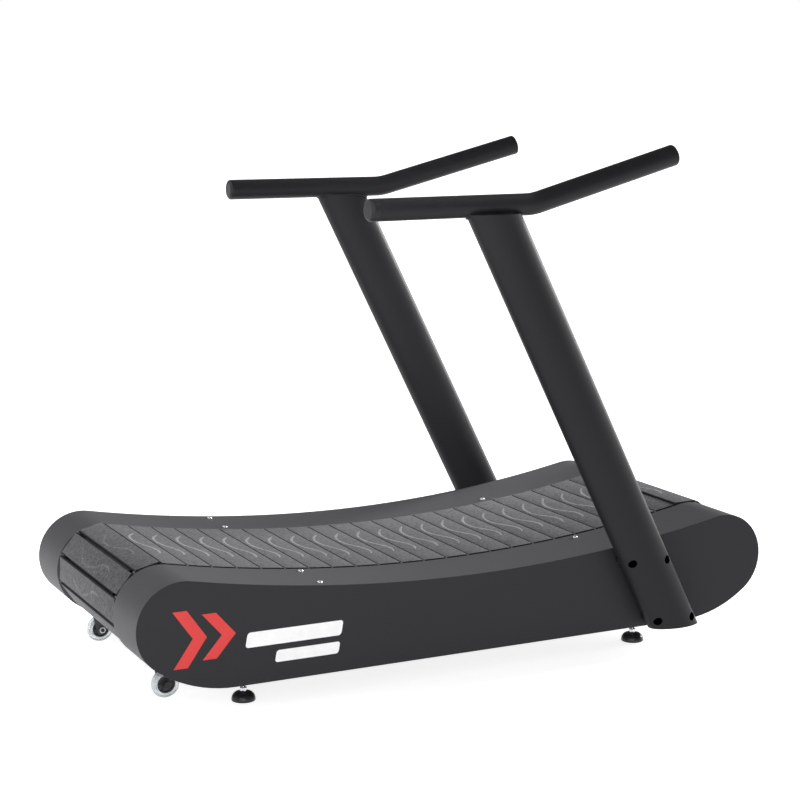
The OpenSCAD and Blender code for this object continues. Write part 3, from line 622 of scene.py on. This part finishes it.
def tread_master():
    """A tread with three materials: 0 its top, 1 the wave with a painted highlight, 2 its sides and ends,
    darkened as painted shade.
    """
    bm = bmesh.new()
    add_block(bm)
    add_wave(bm)
    bmesh.ops.recalc_face_normals(bm, faces=bm.faces)
    for face in bm.faces:
        # Faces that point sideways get the near-black rubber: painted shade
        limit = TOP_ACROSS if abs(face.normal.y) > abs(face.normal.x) else TOP_ALONG
        if face.material_index == 0 and face.normal.z < limit:
            face.material_index = 2
    return as_mesh("tread_master", bm)


def joint_master():
    """What fills one joint between slats, with two materials: 0 the pale tabs, which are painted light, 1
    the seal.
    """
    bm = bmesh.new()
    add_tabs(bm)
    add_seal(bm)
    bmesh.ops.recalc_face_normals(bm, faces=bm.faces)
    return as_mesh("joint_master", bm)


def repeated(name, master, places, materials):
    """One piece made of a copy of the master mesh at every place."""
    bm = bmesh.new()
    for place in places:
        start = len(bm.verts)
        bm.from_mesh(master)
        bm.verts.ensure_lookup_table()
        for vert in bm.verts[start:]:
            vert.co = place @ vert.co
    return new_piece(name, bm, materials, BELT_SMOOTH)


def make_belt():
    """Treads in place of the plain ones, and joint pieces between them, but none where two runs meet."""
    tread, joint = tread_master(), joint_master()
    joints = belt_places(0.5, math.hypot(PITCH_R, SLAT_HALF_W))
    for run, places in belt_places().items():
        # The rear wrap's wave gets the dimmer copy of the painted highlight
        wave = DIM_HIGHLIGHT_WAVE_RUBBER if run == "rear" else HIGHLIGHT_WAVE_RUBBER
        treads = [MATERIALS["tread_rubber"], wave, SHADED_SIDE_RUBBER]
        adopt(repeated("belt_treads_" + run, tread, places, treads), run + "_treads")
        fillers = [LIT_GAP_PLASTIC, MATERIALS["belt_rubber"]]
        pieces = repeated("belt_joints_" + run, joint, joints[run][:-1], fillers)
        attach(pieces, body_of(run + "_treads"))
    bpy.data.meshes.remove(tread)
    bpy.data.meshes.remove(joint)


# ---- Handlebar welds ----

# The handlebar as in the CAD: its radius, the play of the upright's cope, its bend and how far it toes in
BAR_R, COPE_PLAY = 28.0 * MM, 0.3 * MM
BAR_BEND = Vector((0.155, 0.446, 1.206))
BAR_TOE = math.radians(2.7)
COPE_TOLERANCE = 0.1 * MM
BEAD_R, BEAD_STEP, BEAD_SIDES = 4.2 * MM, 1.2 * MM, 12
# The bead's ripples: how high, how many steps each, and how many steps ahead and behind set its direction
RIPPLE, RIPPLE_STEPS, BEAD_LOOK = 0.05, 4, 3


def cope_loop(node, side):
    """The closed edge where an upright's coped top meets its handlebar, as points in order."""
    bend = Vector((BAR_BEND.x, side * BAR_BEND.y, BAR_BEND.z))
    along = Vector((math.cos(BAR_TOE), -side * math.sin(BAR_TOE), 0.0))
    bm = welded_mesh(node)

    def on_bar(face):
        off = [(v.co - bend).cross(along).length - BAR_R - COPE_PLAY for v in face.verts]
        return all(abs(d) < COPE_TOLERANCE for d in off)

    coped = {f for f in bm.faces if on_bar(f)}
    rim = [e for e in bm.edges if sum(f in coped for f in e.link_faces) == 1]
    beside = {}
    for edge in rim:
        a, b = edge.verts
        beside.setdefault(a, []).append(b)
        beside.setdefault(b, []).append(a)
    start = min(beside, key=lambda v: (round(v.co.x, 6), round(v.co.y, 6)))
    loop, before, now = [start], None, start
    while True:
        ahead = [v for v in beside[now] if v is not before]
        before, now = now, ahead[0]
        if now is start:
            break
        loop.append(now)
    points = [v.co.copy() for v in loop]
    bm.free()
    return points


def evenly_spaced(points, step):
    """Points at equal steps along a closed run of straight pieces."""
    closed = points + points[:1]
    lengths = [(b - a).length for a, b in zip(closed, closed[1:])]
    count = int(sum(lengths) / step)
    gap = sum(lengths) / count
    out, done, k = [], 0.0, 0
    for i in range(count):
        while k < len(lengths) - 1 and done + lengths[k] < i * gap:
            done += lengths[k]
            k += 1
        out.append(closed[k].lerp(closed[k + 1], (i * gap - done) / max(lengths[k], 1e-9)))
    return out


def make_welds():
    """A rippled bead all round each joint of upright and handlebar."""
    for side, label in ((1, "left"), (-1, "right")):
        path = evenly_spaced(cope_loop(label + "_upright", side), BEAD_STEP)
        count = len(path)
        rings = []
        for k, point in enumerate(path):
            ahead = (path[(k + BEAD_LOOK) % count] - path[k - BEAD_LOOK]).normalized()
            across = ahead.cross(Vector((0.0, 0.0, 1.0))).normalized()
            up = across.cross(ahead)
            radius = BEAD_R * (1.0 + RIPPLE * math.cos(2.0 * math.pi * k / RIPPLE_STEPS))
            rings.append([point + radius * (math.cos(a) * across + math.sin(a) * up)
                          for a in around(BEAD_SIDES)])
        bm = bmesh.new()
        add_loft(bm, rings + rings[:1], closed_ends=False)
        bmesh.ops.remove_doubles(bm, verts=bm.verts, dist=RING_JOIN)
        bmesh.ops.recalc_face_normals(bm, faces=bm.faces)
        bead = new_piece("weld_bead_" + label, bm, [MATERIALS["tube_paint"]])
        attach(bead, "frame")


# ---- Transport wheels ----

HUB_IN, HUB_OUT, HUB_HALF_W = 11.0 * MM, 23.0 * MM, 9.0 * MM
HUB_ROUND = 0.6 * MM
HUB_RIBS, RIB_HALF_W, RIB_SLOPE, RIB_RISE = 6, 1.3 * MM, 0.8 * MM, 0.75
WEB_MID, WEB_HALF, WEB_SLOPE, WEB_DEPTH = 16.6 * MM, 2.8 * MM, 0.9 * MM, 4.6 * MM
HUB_RINGS, HUB_SIDES = 26, 96


def hub_height(r, angle):
    """Half the hub's thickness: a rim, a boss, and ribs across the sunk web between them."""
    across = abs(math.sin(angle * HUB_RIBS / 2)) * 2.0 / HUB_RIBS * r
    rib = 1.0 if across < RIB_HALF_W else max(0.0, 1.0 - (across - RIB_HALF_W) / RIB_SLOPE)
    rim = min(1.0, max(0.0, abs(r - WEB_MID) - WEB_HALF) / WEB_SLOPE)
    edge = min(HUB_OUT - r, r - HUB_IN)
    soft = HUB_ROUND * (1.0 - min(1.0, edge / HUB_ROUND))
    return HUB_HALF_W - soft - WEB_DEPTH * (1.0 - max(rim, RIB_RISE * rib))


def make_hubs():
    """Ribbed hubs in the place of the plain ones."""
    for label in ("left", "right"):
        node = label + "_wheel_hub"
        low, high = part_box(node)
        mid = (Vector(low) + Vector(high)) / 2
        radii = [HUB_IN + (HUB_OUT - HUB_IN) * k / HUB_RINGS for k in range(HUB_RINGS + 1)]
        rings = []
        for face in (1, -1):
            for r in radii[::face]:
                rings.append([mid + Vector((r * math.cos(a), face * hub_height(r, a), r * math.sin(a)))
                              for a in around(HUB_SIDES)])
        bm = bmesh.new()
        add_loft(bm, rings + rings[:1], closed_ends=False)
        bmesh.ops.remove_doubles(bm, verts=bm.verts, dist=RING_JOIN)
        bmesh.ops.recalc_face_normals(bm, faces=bm.faces)
        adopt(new_piece("ribbed_" + node, bm, [MATERIALS["hub_plastic"]]), node)


# ---- Levelling feet ----

STEM_R, STEM_SIDES = 6.0 * MM, 20
# The thread runs out over the last turns below the stem's top
THREAD_PITCH, THREAD_DEPTH, THREAD_STEPS, THREAD_RUNOUT = 1.75 * MM, 0.9 * MM, 7, 1.5
HEX_R, HEX_H, HEX_SIDES = 9.8 * MM, 8.0 * MM, 48
HEX_CHAMFER, HEX_END = 0.9 * MM, 0.92


def add_thread(bm, x, y, z0, z1):
    """A threaded rod: each point's radius follows the thread's slope round the axis."""
    rings = []
    for k in range(int((z1 - z0) / THREAD_PITCH * THREAD_STEPS) + 1):
        z = z0 + k * THREAD_PITCH / THREAD_STEPS
        fade = min(1.0, (z1 - z) / (THREAD_RUNOUT * THREAD_PITCH))
        ring = []
        for j, angle in enumerate(around(STEM_SIDES)):
            turn = (z / THREAD_PITCH - j / STEM_SIDES) % 1.0
            r = STEM_R - THREAD_DEPTH * (1.0 - abs(2.0 * turn - 1.0) * max(0.0, fade))
            ring.append((x + r * math.cos(angle), y + r * math.sin(angle), z))
        rings.append(ring)
    add_loft(bm, rings)


def add_hexagon(bm, x, y, z0, z1):
    """A spanner hexagon with chamfered corners, from circles cut by six flats."""
    flat = HEX_R * math.cos(math.pi / 6)
    rings = []
    for z, limit in ((z0, HEX_END), (z0 + HEX_CHAMFER, 1.0), (z1 - HEX_CHAMFER, 1.0), (z1, HEX_END)):
        ring = []
        for angle in around(HEX_SIDES):
            to_flat = flat / math.cos((angle % (math.pi / 3)) - math.pi / 6)
            r = min(to_flat, HEX_R * limit)
            ring.append((x + r * math.cos(angle), y + r * math.sin(angle), z))
        rings.append(ring)
    add_loft(bm, rings)


def make_stems():
    """Threaded stems with their hexagons, in the place of the plain ones."""
    for end in ("rear", "front"):
        for side in ("left", "right"):
            node = end + "_" + side + "_foot_stem"
            low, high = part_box(node)
            x, y = (low.x + high.x) / 2, (low.y + high.y) / 2
            bm = bmesh.new()
            add_hexagon(bm, x, y, low.z, low.z + HEX_H)
            add_thread(bm, x, y, low.z + HEX_H, high.z)
            bmesh.ops.recalc_face_normals(bm, faces=bm.faces)
            adopt(new_piece("threaded_" + node, bm, [MATERIALS["stem_chrome"]]), node)


# ---- Printed mark on the side panels ----

# How far the print stands out of the panel, and how far it reaches into it
INK_PROUD, INK_SUNK = 0.25 * MM, 0.2 * MM
# The mark in the panel's own X and Z: two red chevrons, the second one step on and a little lower
CHEVRON_TIP, CHEVRON_MID, CHEVRON_HALF_H = -0.723, 0.192, 0.071
CHEVRON_STEP, CHEVRON_LOSS = 0.074, 0.014
CHEVRON_THICK, CHEVRON_SWEEP = 0.036, 0.050
# and two white bars that lean forward: their X and Z limits and their corners' radius
BARS = ((-0.625, -0.370, 0.150, 0.188, 0.008), (-0.548, -0.378, 0.104, 0.134, 0.007))
BAR_LEAN, CORNER_STEPS = 0.18, 6


def panel_print(name, outlines, side, material):
    """Flat printed shapes on a side panel, given in the panel's own X and Z in metres."""
    low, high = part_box(("left" if side > 0 else "right") + "_side_panel")
    face_y = high.y if side > 0 else low.y
    bm = bmesh.new()
    for outline in outlines:
        front = [bm.verts.new((x, face_y + side * INK_PROUD, z)) for x, z in outline]
        back = [bm.verts.new((x, face_y - side * INK_SUNK, z)) for x, z in outline]
        count = len(outline)
        bm.faces.new(front)
        bm.faces.new(back[::-1])
        for k in range(count):
            bm.faces.new((front[k], back[k], back[(k + 1) % count], front[(k + 1) % count]))
    bmesh.ops.recalc_face_normals(bm, faces=bm.faces)
    piece = new_piece(name, bm, [material])
    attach(piece, "frame")


def leaning_bar(x0, x1, z0, z1, radius):
    """A bar with rounded corners that leans forward, drawn anticlockwise."""
    points = []
    for cx, cz, start in ((x1 - radius, z1 - radius, 0), (x0 + radius, z1 - radius, 90),
                          (x0 + radius, z0 + radius, 180), (x1 - radius, z0 + radius, 270)):
        for k in range(CORNER_STEPS + 1):
            a = math.radians(start + 90 * k / CORNER_STEPS)
            x, z = cx + radius * math.cos(a), cz + radius * math.sin(a)
            points.append((x + BAR_LEAN * (z - z0), z))
    return points


def chevron(tip_x, half_h):
    """A chevron that points along +X, drawn anticlockwise."""
    back_x = tip_x - CHEVRON_SWEEP
    low, high = CHEVRON_MID - half_h, CHEVRON_MID + half_h
    return [(tip_x, CHEVRON_MID), (back_x, high), (back_x - CHEVRON_THICK, high),
            (tip_x - CHEVRON_THICK, CHEVRON_MID), (back_x - CHEVRON_THICK, low), (back_x, low)]


def make_marks():
    """The same mark on both side panels."""
    for side, label in ((-1, "right"), (1, "left")):
        red = [chevron(CHEVRON_TIP + CHEVRON_STEP * k, CHEVRON_HALF_H - CHEVRON_LOSS * k) for k in range(2)]
        white = [leaning_bar(*bar) for bar in BARS]
        panel_print("mark_red_" + label, red, side, INK_RED)
        panel_print("mark_white_" + label, white, side, INK_WHITE)


# ---- Assembly ----


def dress_remaining():
    """Gives every CAD node that still shows its material."""
    for name, node in frame["nodes"].items():
        node.data.materials.clear()
        node.data.materials.append(MATERIALS[SLOT_OF[name]])


make_camera()
make_studio()
dress_remaining()
for node_name, ease in EASED.items():
    eased_copy(node_name, ease * MM)
make_belt()
make_welds()
make_hubs()
make_stems()
make_marks()
